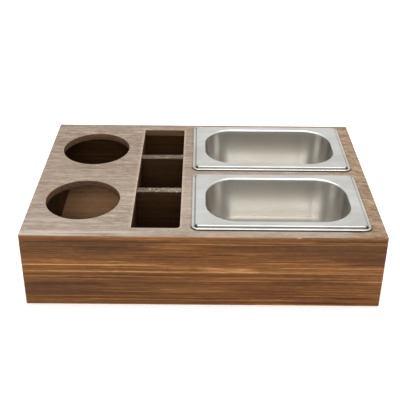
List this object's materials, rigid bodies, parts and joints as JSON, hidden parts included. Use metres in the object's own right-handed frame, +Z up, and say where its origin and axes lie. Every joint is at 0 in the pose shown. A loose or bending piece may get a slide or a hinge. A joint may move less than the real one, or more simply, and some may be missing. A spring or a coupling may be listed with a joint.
{
  "type": "countertop condiment organiser",
  "caption": "Low stained-wood counter box with round cup holes, a row of square compartments and lift-out steel food pans.",
  "frame": {"origin": "centre of the box's underside, in the plane that rests on the counter", "axes": "+X to the right along the longest side, from the cup holes to the pans, +Y from the front board to the back board, +Z up"},
  "size_m": [0.3556, 0.244, 0.0862],
  "materials": {
    "top_wood": "greyish torched and brushed wood, fine grain along X, matt",
    "board_wood": "torched and brown-stained wood with light and dark grain streaks, matt to satin",
    "inner_wood": "dark brown stained wood, matt",
    "pan_steel": "satin stainless steel sheet with fine brushing",
    "nail_steel": "bright drawn steel nail wire, dulled by stain"
  },
  "bodies": {
    "box": {"top_panel": "top_wood", "front_board": "board_wood", "back_board": "board_wood", "left_board": "board_wood", "right_board": "board_wood", "bottom_panel": "inner_wood", "cup_bay_partition": "inner_wood", "pan_bay_partition": "inner_wood", "front_divider": "inner_wood", "rear_divider": "inner_wood", "front_brads": "nail_steel", "back_brads": "nail_steel", "bottom_brads": "nail_steel", "top_pins": "nail_steel", "divider_pins": "nail_steel"},
    "front_pan": {"front_pan": "pan_steel"},
    "rear_pan": {"rear_pan": "pan_steel"}
  },
  "joints": [
    {"name": "front_pan_lift", "type": "slide", "parent": "box", "child": "front_pan", "axis": [0, 0, 1], "range_m": [0, 0.075]},
    {"name": "rear_pan_lift", "type": "slide", "parent": "box", "child": "rear_pan", "axis": [0, 0, 1], "range_m": [0, 0.075]}
  ]
}
